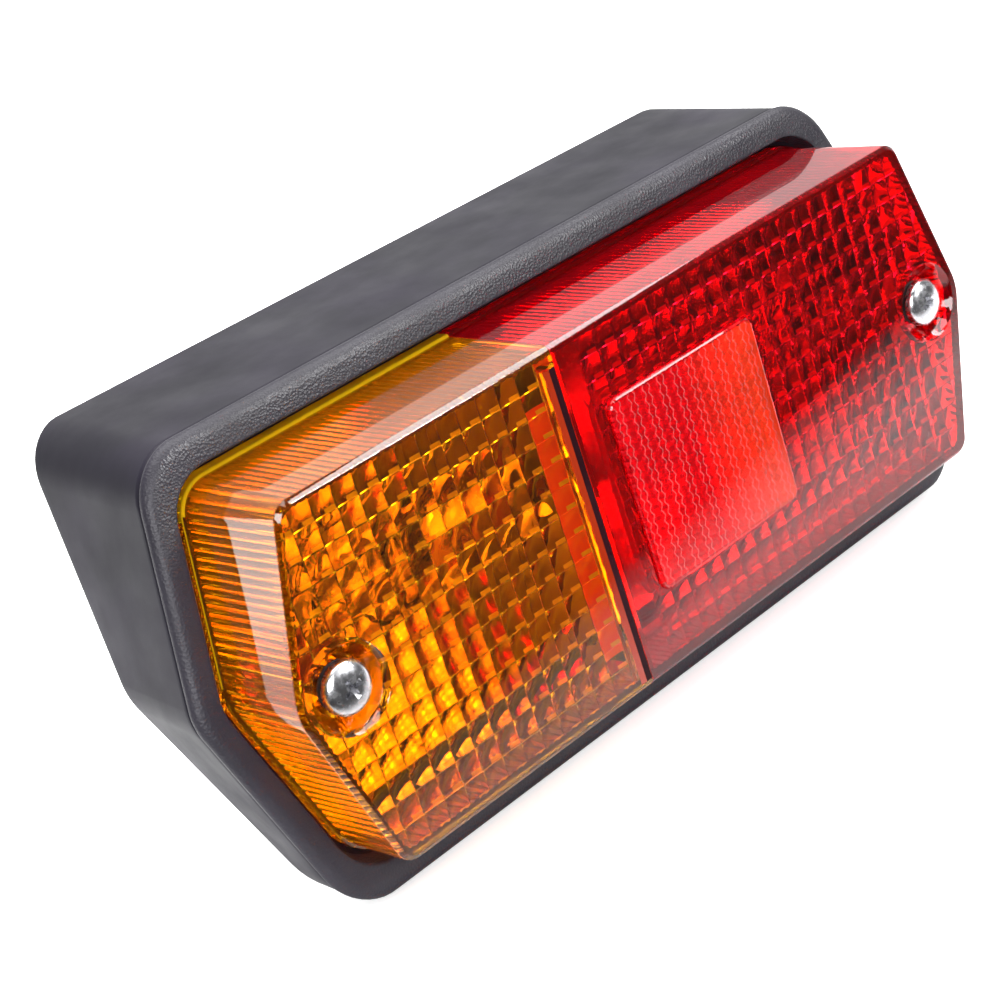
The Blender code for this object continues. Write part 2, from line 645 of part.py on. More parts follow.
def build_holder(prefix, axis, pins, contact_pins):
    """A bayonet holder: slotted shell, insulator, sprung contact pins."""
    lip = 0.6 * MM
    shell = turned(prefix + "_holder_shell", [
        (6.6 * MM, SHELL_BACK), (SHELL_OUTER, SHELL_BACK), (SHELL_OUTER, SHELL_MOUTH - 0.6 * MM),
        (SHELL_OUTER + 0.5 * MM, SHELL_MOUTH), (SHELL_INNER + 0.5 * MM, SHELL_MOUTH),
        (SHELL_INNER, SHELL_MOUTH - 0.6 * MM), (SHELL_INNER, SHELL_BACK + lip), (6.6 * MM, SHELL_BACK + lip),
    ], STEEL, axis, 24)
    clear = math.radians(10.5)
    for index, (height, start) in enumerate(zip(pins, (0.0, math.pi))):
        low = height - BULB_TRAVEL - PIN_RADIUS - GAP
        high = height + PIN_RADIUS + GAP
        window = (start - clear, start + BULB_TWIST + clear)
        entry = (start + BULB_TWIST - clear, start + BULB_TWIST + clear)
        cut(shell,
            sector("%s_window_%d" % (prefix, index), window, low, high, axis),
            sector("%s_entry_%d" % (prefix, index), entry, high - 1.0 * MM, SHELL_MOUTH + 2 * MM, axis))
    low, high = SHELL_BACK + lip + GAP, SHELL_BACK + lip + GAP + 2.0 * MM
    insulator = cylinder(prefix + "_holder_insulator", SHELL_INNER - GAP, low, high, BAKELITE, axis, 24)
    for name, spring_name, offset in contact_pins:
        build_contact(name, spring_name, offset, insulator, low, high, axis)


def build_contact(name, spring_name, offset, insulator, low, high, axis):
    """A headed pin that slides in the insulator, with a spring round its shaft."""
    head, shaft, tail = 2.0 * MM, 0.8 * MM, 1.5 * MM
    face = -GAP
    back_face = face - 1.2 * MM
    place = (0, offset, 0)
    cut(insulator, cylinder(name + "_hole", shaft + 0.25 * MM, low - MM, high + MM, parent=axis, segments=16,
                            location=place))
    turned(name, [
        (0, low - GAP - 0.7 * MM), (tail, low - GAP - 0.7 * MM), (tail, low - GAP), (shaft, low - GAP),
        (shaft, back_face), (head, back_face), (head, face - 0.3 * MM), (head - 0.5 * MM, face), (0, face),
    ], BRASS, axis, 12, place)
    turns, per_turn, radius, thick = 3, 8, 1.5 * MM, 0.25 * MM
    first, last = high + GAP + thick, back_face - GAP - thick
    points = []
    for i in range(turns * per_turn + 1):
        angle = 2 * math.pi * i / per_turn
        height = first + (last - first) * i / (turns * per_turn)
        points.append((radius * math.cos(angle), radius * math.sin(angle), height))
    wire(spring_name, points, thick, STEEL, axis, place)


def build_bracket(prefix, back, x, toward):
    """A bent strip that stands on the socket plate and carries the holder's shell."""
    floor = -PLATE_TOP
    thick, foot, half_width = 1.2 * MM, 16.0 * MM, 9.0 * MM
    across = Vector((0, BULB_Y, BULB_Z))
    normal = Vector((0, math.cos(TILT), -math.sin(TILT)))
    slope_up = Vector((0, math.sin(TILT), math.cos(TILT)))
    centre_up, centre_out = across.dot(slope_up), across.dot(normal)
    top = centre_out - SHELL_OUTER - 2.6 * MM
    outline = [
        (0, floor), (toward * foot, floor), (toward * foot, floor - thick),
        (toward * (thick + 1.0 * MM), floor - thick), (toward * thick, floor - thick - 1.0 * MM),
        (toward * thick, top), (0, top),
    ]
    bm = bmesh.new()
    face = bm.faces.new([bm.verts.new((u, -half_width, v)) for u, v in outline])
    made = bmesh.ops.extrude_face_region(bm, geom=[face])
    moved = [v for v in made["geom"] if isinstance(v, bmesh.types.BMVert)]
    bmesh.ops.translate(bm, verts=moved, vec=(0, 2 * half_width, 0))
    bracket = mesh_object(prefix + "_bracket", bm, STEEL, back, (x, -centre_up, 0))
    hole = cylinder(prefix + "_bracket_hole", SHELL_OUTER + GAP, -5 * MM, 5 * MM, parent=back, segments=36,
                    location=(x, -centre_up, centre_out))
    hole.rotation_euler = (0, math.pi / 2, 0)
    cut(bracket, hole)
    plate = bpy.data.objects["socket_plate"]
    for index, step in enumerate((6.0 * MM, 12.0 * MM), 1):
        place = (x + toward * step, -centre_up, 0)
        name = "%s_rivet_%d" % (prefix, index)
        through = cylinder(name + "_hole", 1.8 * MM, floor - 3 * MM, 0, parent=back, segments=12,
                           location=place)
        cut(bracket, through)
        cut(plate, through)
        low = floor - thick - GAP
        turned(name, [
            (0, low - 1.2 * MM), (1.6 * MM, low - 1.1 * MM), (2.9 * MM, low - 0.5 * MM), (2.9 * MM, low),
            (1.5 * MM, low), (1.5 * MM, floor + GAP + 0.6 * MM), (0, floor + GAP + 0.6 * MM),
        ], STEEL, back, 12, place)


# ---------------------------------------------------------------- assembly

def main():
    for obj in list(bpy.data.objects):
        bpy.data.objects.remove(obj, do_unlink=True)
    back = empty("back_frame", (0, 0, 0), (-(math.pi / 2 + TILT), 0, 0))
    turn_axis = empty("turn_bulb_axis", (TURN_BULB_X, BULB_Y, BULB_Z), (0, -math.pi / 2, 0))
    stop_axis = empty("stop_bulb_axis", (STOP_BULB_X, BULB_Y, BULB_Z), (0, math.pi / 2, 0))

    build_housing(back)
    build_gasket()
    build_socket_plate(back)
    build_divider()
    build_grommet(back)
    build_posts()
    build_mounting(back)
    build_earth_terminal(back)

    build_lens_half("amber_lens", AMBER, True)
    build_lens_half("red_lens", RED, False)
    build_reflex()
    build_lens_screws()

    build_bulb("turn", turn_axis, TURN_PINS,
               [("turn_bulb_contact", 0)],
               [("turn_bulb_filament", 0, 33.0 * MM)])
    build_bulb("stop", stop_axis, STOP_PINS,
               [("stop_bulb_contact", -TWIN_CONTACT), ("tail_bulb_contact", TWIN_CONTACT)],
               [("stop_bulb_filament", -1.6 * MM, 33.0 * MM), ("tail_bulb_filament", 1.6 * MM, 30.0 * MM)])
    build_holder("turn", turn_axis, TURN_PINS, [("turn_contact_pin", "turn_contact_spring", 0)])
    build_holder("stop", stop_axis, STOP_PINS,
                 [("stop_contact_pin", "stop_contact_spring", -TWIN_CONTACT),
                  ("tail_contact_pin", "tail_contact_spring", TWIN_CONTACT)])
    build_bracket("turn", back, TURN_BULB_X + 3.8 * MM, -1)
    build_bracket("stop", back, STOP_BULB_X - 3.8 * MM, 1)


main()
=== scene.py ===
"""Looks of the trailer tail light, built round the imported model: lens, reflector, housing and lamp parts.

Everything is in metres in the model's frame: +X along the lamp, the lens front faces -Y, +Z up, and the origin is
the centre of the housing's sloping back face.
"""
import json
import math

import bmesh
import bpy
from mathutils import Matrix, Vector


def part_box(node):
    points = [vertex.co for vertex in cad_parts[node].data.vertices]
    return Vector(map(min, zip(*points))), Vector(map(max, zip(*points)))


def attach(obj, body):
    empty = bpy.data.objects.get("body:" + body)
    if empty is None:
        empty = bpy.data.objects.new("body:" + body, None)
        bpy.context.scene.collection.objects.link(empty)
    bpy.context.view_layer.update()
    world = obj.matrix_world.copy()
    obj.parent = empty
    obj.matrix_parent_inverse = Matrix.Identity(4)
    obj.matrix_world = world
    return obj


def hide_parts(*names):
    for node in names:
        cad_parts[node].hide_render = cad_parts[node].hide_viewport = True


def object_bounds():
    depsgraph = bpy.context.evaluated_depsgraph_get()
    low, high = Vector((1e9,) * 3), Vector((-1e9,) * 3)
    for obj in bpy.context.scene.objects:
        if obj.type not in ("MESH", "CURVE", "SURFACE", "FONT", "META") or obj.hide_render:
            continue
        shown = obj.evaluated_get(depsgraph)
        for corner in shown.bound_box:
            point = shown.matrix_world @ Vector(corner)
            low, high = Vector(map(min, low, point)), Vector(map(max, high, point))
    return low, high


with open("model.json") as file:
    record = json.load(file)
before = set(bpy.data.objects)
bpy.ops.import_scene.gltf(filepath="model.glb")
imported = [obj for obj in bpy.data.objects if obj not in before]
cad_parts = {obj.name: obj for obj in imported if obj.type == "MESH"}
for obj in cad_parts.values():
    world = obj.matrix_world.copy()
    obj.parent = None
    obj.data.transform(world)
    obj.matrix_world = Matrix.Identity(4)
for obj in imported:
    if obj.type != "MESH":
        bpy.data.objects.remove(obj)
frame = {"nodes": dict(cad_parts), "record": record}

CAD_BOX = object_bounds()
MM = 0.001

# ---------------------------------------------------------------- driving sizes

FRONT_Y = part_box("amber_lens")[0].y
SEAM_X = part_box("amber_lens")[1].x
SEAM_GAP = 0.1 * MM               # between the two halves of the lens
FRONT_SIZES = (100.2 * MM, 89.7 * MM, 38.0 * MM)      # half lengths at the end point and corner, half height
FOOT_SIZES = (100.9 * MM, 90.7 * MM, 39.2 * MM)
HOUSING_SIZES = (109.6 * MM, 97.0 * MM, 48.4 * MM)
BACK_SIZES = (108.6 * MM, 96.9 * MM, 49.9 * MM)
BACK_SHIFT = 1.5 * MM             # the back outline lies a little to the right
RIM_Y = -31.2 * MM                # the rim's front at mid height
FOOT_DEPTH = 5.7 * MM             # the lens's foot below the rim's front
RIM_SLOPE = 0.188                 # how much y grows with z, on the rim and on the back
BACK_SLOPE = 0.517
TILT = math.atan(BACK_SLOPE)

FRONT_WALL = 2.0 * MM
SIDE_WALL = 2.2 * MM
CHAMFER = ((1.25, 0.0), (0.92, 0.1), (0.1, 0.88), (0.0, 1.2))     # inset and depth of the front edge, in mm
CELL = 5.2 * MM                   # pitch of the pillow prisms
CELL_SWELL = 0.72 * MM            # how far a pillow's middle stands out of its corners
CELL_GROOVE = 0.13 * MM           # depth of the fine groove between pillows
CELL_MARKS = (0.0, 0.03, 0.2, 0.35, 0.5, 0.65, 0.8, 0.97)      # where each pillow is cut across its width
ROWS = 14
AMBER_CELLS_END = -24.9 * MM
RED_CELLS_START = -13.5 * MM
SEAM_STRIP = (3.1 * MM, 5.2 * MM)         # width and depth of the strip along the seam: painted shade and a painted red glow
DARK_STRIP = 1.5 * MM                     # the dark share of that width, painted shade
STRIP_REACH = (-36.4 * MM, 33.6 * MM)     # its lower and upper end
PARTITION = (2.0 * MM, 15.4 * MM)         # width and depth of the red half's wall behind the seam
FLUTE_PITCH = 1.75 * MM
FLUTE_DEPTH = 0.3 * MM
FLUTE_STEPS = 5

REFLEX_X = (-11.7 * MM, 32.4 * MM)
REFLEX_HALF_HEIGHT = 21.6 * MM
REFLEX_PROUD = 1.1 * MM
HEX_CELL = 2.5 * MM               # the cube-corner cells, across flats
LINE_WIDTH = 0.15 * MM            # the painted highlight lines between their columns

SCREW_X = 88.0 * MM
WELL_RADII = (8.5 * MM, 6.0 * MM)
WELL_DEPTH = 4.4 * MM
BOSS_END = -22.5 * MM             # where the lens's screw bosses end

BOLT_X = 55 * MM
BOLT_HOLE_RADIUS = 3.3 * MM
GROMMET_AT = (2 * MM, 27 * MM)    # along the lamp, and up the sloping back
POST_RADIUS = 5.6 * MM            # the housing's posts under the lens screws, and the bores in them
POST_BORE_RADIUS = 4.8 * MM
POST_END = 14 * MM                # their height in front of the origin
BORE_ENDS = (8 * MM, 19 * MM)

FLOOR_FADE_FRONT = (-0.115, -0.078)       # where the floor fades away in front of the lens
FLOOR_FADE_TURN = 0.2                     # how far that edge turns away towards the right

# ---------------------------------------------------------------- mesh helpers

def finish_mesh(name, bm, angle=28.0):
    """Turns a bmesh into an object with smooth shading and sharp creases."""
    bmesh.ops.remove_doubles(bm, verts=bm.verts, dist=1e-7)
    bmesh.ops.recalc_face_normals(bm, faces=bm.faces)
    mesh = bpy.data.meshes.new(name)
    bm.to_mesh(mesh)
    bm.free()
    mesh.shade_smooth()
    mesh.set_sharp_from_angle(angle=math.radians(angle))
    obj = bpy.data.objects.new(name, mesh)
    bpy.context.scene.collection.objects.link(obj)
    return obj


def rounded(corners, radii, steps):
    """Corner points (x, z) joined by straight edges, with an arc at each corner."""
    points = []
    for index, corner in enumerate(corners):
        corner = Vector(corner)
        before = (Vector(corners[index - 1]) - corner).normalized()
        after = (Vector(corners[(index + 1) % len(corners)]) - corner).normalized()
        half = before.angle(after) / 2
        radius = radii[index]
        centre = corner + (before + after).normalized() * radius / math.sin(half)
        start = corner + before * radius / math.tan(half) - centre
        end = corner + after * radius / math.tan(half) - centre
        turn = start.angle_signed(end)
        for step in range(steps + 1):
            points.append(tuple(centre + Matrix.Rotation(-turn * step / steps, 2) @ start))
    return points


def hexagon(sizes, corner_radius, point_radius=12.0 * MM, steps=10):
    """The lamp's six-sided outline with rounded corners."""
    point, corner, height = sizes
    corners = [
        (point, 0), (corner, height), (-corner, height),
        (-point, 0), (-corner, -height), (corner, -height),
    ]
    return rounded(corners, [point_radius, corner_radius, corner_radius] * 2, steps)


def grown(sizes, amount):
    """The sizes of a hexagon whose edges all lie this much further out."""
    point, corner, height = sizes
    across = math.hypot(corner - point, height) / height
    new_height = height + amount
    new_point = point + amount * across
    return new_point, new_point + (corner - point) / height * new_height, new_height


def ring(outline, y, slope=0.0):
    """The outline carried onto the plane y + slope * z."""
    return [(x, y + slope * z, z) for x, z in outline]


def rim_ring(sizes, depth, corner_radius, steps=10):
    """A hexagon parallel to the rim, this far behind its front."""
    return ring(hexagon(sizes, corner_radius, steps=steps), RIM_Y + depth, RIM_SLOPE)


def back_ring(sizes, depth, corner_radius, steps=10):
    """A hexagon parallel to the sloping back, this far in front of it."""
    return ring(hexagon(sizes, corner_radius, steps=steps), -depth / math.cos(TILT), BACK_SLOPE)


def loft(name, rings, closed=False, angle=28.0):
    """Rings of equal counts joined by quads; an open stack is capped at both ends."""
    bm = bmesh.new()
    loops = [[bm.verts.new(co) for co in points] for points in rings]
    pairs = list(zip(loops, loops[1:]))
    if closed:
        pairs.append((loops[-1], loops[0]))
    for low, high in pairs:
        for i in range(len(low)):
            j = (i + 1) % len(low)
            bm.faces.new((low[i], low[j], high[j], high[i]))
    if not closed:
        bm.faces.new(loops[0])
        bm.faces.new(loops[-1])
    return finish_mesh(name, bm, angle)


def turned(name, profile, at, axis, segments=48, angle=28.0):
    """A solid turned from a closed profile of (radius, height) points, about an axis through a point."""
    bm = bmesh.new()
    verts = [bm.verts.new((radius, 0, height)) for radius, height in profile]
    edges = [bm.edges.new((verts[i], verts[i - 1])) for i in range(len(verts))]
    for edge in [e for e in edges if all(v.co.x < 1e-9 for v in e.verts)]:
        edges.remove(edge)
        bm.edges.remove(edge)
    bmesh.ops.spin(bm, geom=verts + edges, cent=(0, 0, 0), axis=(0, 0, 1), steps=segments,
                   angle=2 * math.pi, use_merge=True)
    bmesh.ops.remove_doubles(bm, verts=bm.verts, dist=1e-7)
    turn = Vector((0, 0, 1)).rotation_difference(Vector(axis)).to_matrix().to_4x4()
    bmesh.ops.transform(bm, matrix=Matrix.Translation(at) @ turn, verts=bm.verts)
    return finish_mesh(name, bm, angle)


def box(name, low, high):
    """A block between two corners, used as a cutter."""
    bm = bmesh.new()
    bmesh.ops.create_cube(bm, size=1.0)
    for vert in bm.verts:
        vert.co = [low[i] if vert.co[i] < 0 else high[i] for i in range(3)]
    return finish_mesh(name, bm)


def boolean(obj, others, operation):
    """Applies one exact Boolean with each of the others, and removes them."""
    for other in others:
        modifier = obj.modifiers.new("boolean", "BOOLEAN")
        modifier.operation = operation
        modifier.solver = "EXACT"
        modifier.object = other
    bpy.context.view_layer.update()
    evaluated = obj.evaluated_get(bpy.context.evaluated_depsgraph_get())
    made = bpy.data.meshes.new_from_object(evaluated)
    obj.modifiers.clear()
    obj.data = made
    for other in others:
        bpy.data.objects.remove(other, do_unlink=True)
    return obj


def smooth(obj, angle=28.0):
    """Smooth shading with sharp creases, and normals that keep the flat faces flat."""
    obj.data.shade_smooth()
    obj.data.set_sharp_from_angle(angle=math.radians(angle))
    modifier = obj.modifiers.new("normals", "WEIGHTED_NORMAL")
    modifier.keep_sharp = True
    return obj


def crease_pillows(obj, angle=11.0):
    """Marks the borders between pillows as sharp, on the inner side of the lens's front wall only."""
    bm = bmesh.new()
    bm.from_mesh(obj.data)
    low, high = FRONT_Y + FRONT_WALL - 0.1 * MM, FRONT_Y + FRONT_WALL + CELL_SWELL + CELL_GROOVE + 0.1 * MM
    for edge in bm.edges:
        if len(edge.link_faces) == 2 and all(low < vert.co.y < high for vert in edge.verts):
            if edge.calc_face_angle(0.0) > math.radians(angle):
                edge.smooth = False
    bm.to_mesh(obj.data)
    bm.free()
    return obj


def finish_piece(obj, body, material, slot, *nodes):
    """Gives a piece its material and its body, and hides the nodes it stands for."""
    obj.data.materials.clear()
    obj.data.materials.append(material)
    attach(obj, body)
    if nodes:
        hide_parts(*nodes)
    return obj


# ---------------------------------------------------------------- materials

class Shader:
    """A material with a Principled shader and short calls for its nodes."""

    def __init__(self, name, colour, roughness, metallic=0.0, transmission=0.0, ior=1.49):
        self.material = bpy.data.materials.new(name)
        self.material.use_nodes = True
        self.tree = self.material.node_tree
        self.main = self.tree.nodes["Principled BSDF"]
        self.colour = colour
        self.set("Base Color", (*colour, 1.0))
        self.set("Roughness", roughness)
        self.set("Metallic", metallic)
        self.set("Transmission Weight", transmission)
        self.set("IOR", ior)
        self.coordinates = self.node("ShaderNodeTexCoord").outputs["Object"]
        self.bumps = None

    def set(self, socket, value):
        self.main.inputs[socket].default_value = value

    def node(self, kind, **values):
        made = self.tree.nodes.new(kind)
        for name, value in values.items():
            made.inputs[name.replace("_", " ")].default_value = value
        return made

    def link(self, output, socket):
        self.tree.links.new(output, socket)

    def noise(self, scale, detail=4.0, roughness=0.55, stretch=None):
        made = self.node("ShaderNodeTexNoise", Scale=scale, Detail=detail, Roughness=roughness)
        source = self.coordinates
        if stretch:
            mapping = self.node("ShaderNodeMapping", Scale=stretch)
            self.link(source, mapping.inputs["Vector"])
            source = mapping.outputs["Vector"]
        self.link(source, made.inputs["Vector"])
        return made.outputs["Fac"]

    def grain(self, scale, feature="F1"):
        made = self.node("ShaderNodeTexVoronoi", Scale=scale)
        made.feature = feature
        self.link(self.coordinates, made.inputs["Vector"])
        return made.outputs["Distance"]

    def maths(self, operation, first, second):
        """A math node on a socket and a second socket or number."""
        made = self.tree.nodes.new("ShaderNodeMath")
        made.operation = operation
        self.link(first, made.inputs[0])
        if isinstance(second, float):
            made.inputs[1].default_value = second
        else:
            self.link(second, made.inputs[1])
        return made.outputs["Value"]

    def ramp(self, source, low, high, value_low, value_high):
        made = self.tree.nodes.new("ShaderNodeMapRange")
        made.clamp = True
        for name, value in (("From Min", low), ("From Max", high), ("To Min", value_low),
                            ("To Max", value_high)):
            made.inputs[name].default_value = value
        self.link(source, made.inputs["Value"])
        return made.outputs["Result"]

    def rough(self, source, low, high, value_low, value_high):
        self.link(self.ramp(source, low, high, value_low, value_high), self.main.inputs["Roughness"])

    def tint(self, source, low, high, other):
        """Mixes the base colour towards another colour where the source rises from low to high."""
        mix = self.tree.nodes.new("ShaderNodeMix")
        mix.data_type = "RGBA"
        self.link(self.ramp(source, low, high, 0.0, 1.0), mix.inputs["Factor"])
        current = self.main.inputs["Base Color"]
        if current.is_linked:
            self.link(current.links[0].from_socket, mix.inputs[6])
        else:
            mix.inputs[6].default_value = (*self.colour, 1.0)
        mix.inputs[7].default_value = (*other, 1.0)
        self.link(mix.outputs[2], current)

    def bump(self, source, strength, distance):
        made = self.node("ShaderNodeBump", Strength=strength, Distance=distance)
        self.link(source, made.inputs["Height"])
        if self.bumps is not None:
            self.link(self.bumps, made.inputs["Normal"])
        self.bumps = made.outputs["Normal"]
        self.link(self.bumps, self.main.inputs["Normal"])


def lens_plastic(name, colour, deep, clear):
    """Clear tinted plastic: gloss with a faint haze and a few rubbed patches."""
    made = Shader(name, colour, 0.03, transmission=clear)
    made.rough(made.noise(90.0, 5.0), 0.45, 0.8, 0.012, 0.05)
    made.tint(made.noise(18.0, 2.0), 0.35, 0.75, deep)
    made.bump(made.noise(260.0, 2.0), 0.06, 0.05 * MM)
    return made.material


def reflex_front_painted_light(name, colour, painted_highlight_colour):
    """The reflector's front, with painted highlight lines along the cell rows behind it and a painted glow on its
    right half.
    """
    made = Shader(name, colour, 0.03, transmission=0.74)
    made.rough(made.noise(90.0, 5.0), 0.45, 0.8, 0.012, 0.04)
    made.bump(made.noise(260.0, 2.0), 0.05, 0.05 * MM)
    pitch = math.sqrt(3) * HEX_CELL
    split = made.node("ShaderNodeSeparateXYZ")
    made.link(made.coordinates, split.inputs["Vector"])
    wave = made.maths("PINGPONG", split.outputs["Z"], HEX_CELL / 2)
    swing = made.maths("MULTIPLY", wave, 1 / math.sqrt(3))
    lines = []
    for shift, turned_swing in ((0.0, swing), (pitch / 2, made.maths("MULTIPLY", swing, -1.0))):
        across = made.maths("ADD", made.maths("ADD", split.outputs["X"], turned_swing), shift)
        lines.append(made.maths("PINGPONG", across, pitch / 2))
    nearest = made.maths("MINIMUM", *lines)
    # painted glow: the right half is tinted lighter and more orange
    made.tint(split.outputs["X"], 0.0085, 0.028, (1.0, 0.07, 0.02))
    # painted highlights: lighter lines along the cell rows
    made.tint(nearest, LINE_WIDTH, 0.4 * LINE_WIDTH, painted_highlight_colour)
    return made.material


def black_plastic(name, rim):
    """Moulded black plastic: smooth walls with a fine grain, or the leather grain of the rim."""
    made = Shader(name, (0.017, 0.015, 0.022) if rim else (0.010, 0.009, 0.014), 0.46)
    made.set("Specular IOR Level", 0.26 if rim else 0.12)
    made.tint(made.noise(35.0, 5.0), 0.42, 0.72, (0.023, 0.020, 0.030) if rim else (0.016, 0.013, 0.023))
    made.rough(made.noise(60.0, 6.0), 0.3, 0.75, 0.36, 0.55)
    if rim:
        made.bump(made.grain(1900.0), 0.6, 0.12 * MM)
    made.bump(made.noise(3200.0, 3.0), 0.2 if rim else 0.14, 0.05 * MM)
    made.bump(made.noise(40.0, 2.0), 0.12, 0.6 * MM)
    return made.material


def metal(name, colour, roughness, wear=0.12, stretch=None):
    made = Shader(name, colour, roughness, metallic=1.0)
    made.rough(made.noise(700.0, 6.0, stretch=stretch), 0.3, 0.75, roughness * 0.7, roughness + wear)
    made.tint(made.noise(220.0, 5.0), 0.5, 0.8, tuple(0.72 * c for c in colour))
    made.bump(made.noise(900.0, 4.0, stretch=stretch), 0.12, 0.03 * MM)
    return made.material


def dark_moulding(name, colour, roughness, gloss=0.5):
    made = Shader(name, colour, roughness)
    made.set("Specular IOR Level", gloss)
    made.rough(made.noise(120.0, 5.0), 0.3, 0.7, roughness - 0.08, roughness + 0.1)
    made.tint(made.noise(60.0, 4.0), 0.4, 0.8, tuple(1.7 * c + 0.002 for c in colour))
    made.bump(made.noise(1500.0, 3.0), 0.2, 0.05 * MM)
    return made.material


def clear_glass(name):
    made = Shader(name, (0.97, 0.985, 0.99), 0.01, transmission=1.0, ior=1.5)
    made.rough(made.noise(80.0, 4.0), 0.5, 0.85, 0.005, 0.04)
    made.bump(made.noise(120.0, 2.0), 0.05, 0.05 * MM)
    return made.material


AMBER = lens_plastic("amber_plastic", (0.95, 0.40, 0.001), (0.92, 0.35, 0.001), 0.99)
RED = lens_plastic("red_plastic", (0.81, 0.002, 0.014), (0.75, 0.001, 0.012), 0.985)
AMBER_WALL = lens_plastic("amber_wall_plastic", (1.0, 0.33, 0.002), (1.0, 0.28, 0.001), 0.93)
RED_WALL = lens_plastic("red_wall_plastic", (0.88, 0.003, 0.014), (0.80, 0.002, 0.012), 0.93)
# painted highlights: small glints on the pillows
AMBER_PAINTED_GLINT = lens_plastic("amber_painted_glint", (1.0, 0.62, 0.04), (1.0, 0.55, 0.03), 0.6)
RED_PAINTED_GLINT = lens_plastic("red_painted_glint", (1.0, 0.06, 0.04), (1.0, 0.04, 0.03), 0.6)
# painted glow: the bead along the amber foot
AMBER_FOOT_PAINTED_GLOW = lens_plastic("amber_foot_painted_glow", (1.0, 0.64, 0.004), (1.0, 0.58, 0.003), 0.5)
# painted glow: the face of the red half's partition
RED_PARTITION_PAINTED_GLOW = lens_plastic("red_partition_painted_glow", (1.0, 0.015, 0.015), (0.95, 0.01, 0.012), 0.5)
REFLEX = lens_plastic("reflex_plastic", (0.88, 0.005, 0.012), (0.84, 0.003, 0.010), 0.86)
# the reflector's front, with painted highlight lines and a painted glow on its right half
REFLEX_FRONT_PAINTED_LIGHT = reflex_front_painted_light("reflex_front_painted_light", (0.84, 0.003, 0.010), (1.0, 0.24, 0.24))
BLACK = black_plastic("housing_black", rim=False)
GRAINED = black_plastic("rim_black", rim=True)
# painted shade and a painted red glow on the two strips along the seam
SEAM = dark_moulding("seam_painted_shade", (0.014, 0.001, 0.003), 0.35, 0.08)
SEAM_PAINTED_GLOW = lens_plastic("seam_painted_glow", (0.34, 0.028, 0.006), (0.26, 0.016, 0.005), 0.3)
# painted red-orange glow on the amber pillows next to the seam
AMBER_COLUMN_PAINTED_GLOW = lens_plastic("amber_column_painted_glow", (1.0, 0.09, 0.010), (0.9, 0.06, 0.008), 0.5)
RUBBER = dark_moulding("black_rubber", (0.016, 0.016, 0.017), 0.7)
ZINC = metal("zinc_steel", (0.80, 0.80, 0.82), 0.2)
TRAY = metal("tray_steel", (0.60, 0.60, 0.62), 0.16)
SCREW = metal("screw_zinc", (0.46, 0.46, 0.48), 0.24)
CHROME = metal("bright_plate", (0.90, 0.90, 0.90), 0.14, wear=0.1)
DIVIDER = dark_moulding("divider_grey", (0.30, 0.30, 0.30), 0.4)
BRASS = metal("brass_pieces", (0.82, 0.62, 0.30), 0.26)
BAKELITE = dark_moulding("brown_bakelite", (0.09, 0.04, 0.02), 0.35)
GLASS = clear_glass("bulb_glass")
TUNGSTEN = metal("filament_metal", (0.42, 0.41, 0.40), 0.4)


# ---------------------------------------------------------------- lens

def resampled(outline, count):
    """The outline as this many evenly spaced points, each with its outward normal."""
    closed = [Vector(p) for p in outline] + [Vector(outline[0])]
    lengths = [0.0]
    for a, b in zip(closed, closed[1:]):
        lengths.append(lengths[-1] + (b - a).length)
    points = []
    k = 0
    for i in range(count):
        target = lengths[-1] * i / count
        while lengths[k + 1] < target:
            k += 1
        span = lengths[k + 1] - lengths[k]
        points.append(closed[k].lerp(closed[k + 1], (target - lengths[k]) / span))
    placed = []
    for i, point in enumerate(points):
        along = points[(i + 1) % count] - points[i - 1]
        normal = Vector((along.y, -along.x)).normalized()
        if normal.dot(point) < 0:
            normal = -normal
        placed.append((point, normal))
    return placed


def fluted_prism(name):
    """The hollow inside the lens, its side walls ribbed from front to foot."""
    front = hexagon(grown(FRONT_SIZES, -SIDE_WALL), 2.4 * MM, 10.0 * MM)
    foot = hexagon(grown(FOOT_SIZES, -SIDE_WALL), 6.0 * MM, 10.0 * MM)
    perimeter = 4 * (FRONT_SIZES[1] + math.hypot(FRONT_SIZES[0] - FRONT_SIZES[1], FRONT_SIZES[2]))
    count = round(perimeter / FLUTE_PITCH) * FLUTE_STEPS
    rings = []
    open_end = RIM_Y + FOOT_DEPTH + 1.6 * MM
    for outline, depth, slope in ((front, FRONT_Y + 0.8 * MM, 0.0), (foot, open_end, RIM_SLOPE)):
        points = []
        for i, (point, normal) in enumerate(resampled(outline, count)):
            swell = FLUTE_DEPTH * math.sin(math.pi * (i % FLUTE_STEPS) / FLUTE_STEPS)
            points.append(tuple(point - normal * swell))
        rings.append(ring(points, depth, slope))
    return loft(name, rings)


def pillow(u, v):
    """The height of a pillow over its cell, which runs from -1 to 1 both ways."""
    edge = max(abs(u), abs(v))
    return CELL_SWELL * (1 - (u * u + v * v) / 2) - (CELL_GROOVE if edge > 0.99 else 0.0) + CELL_GROOVE


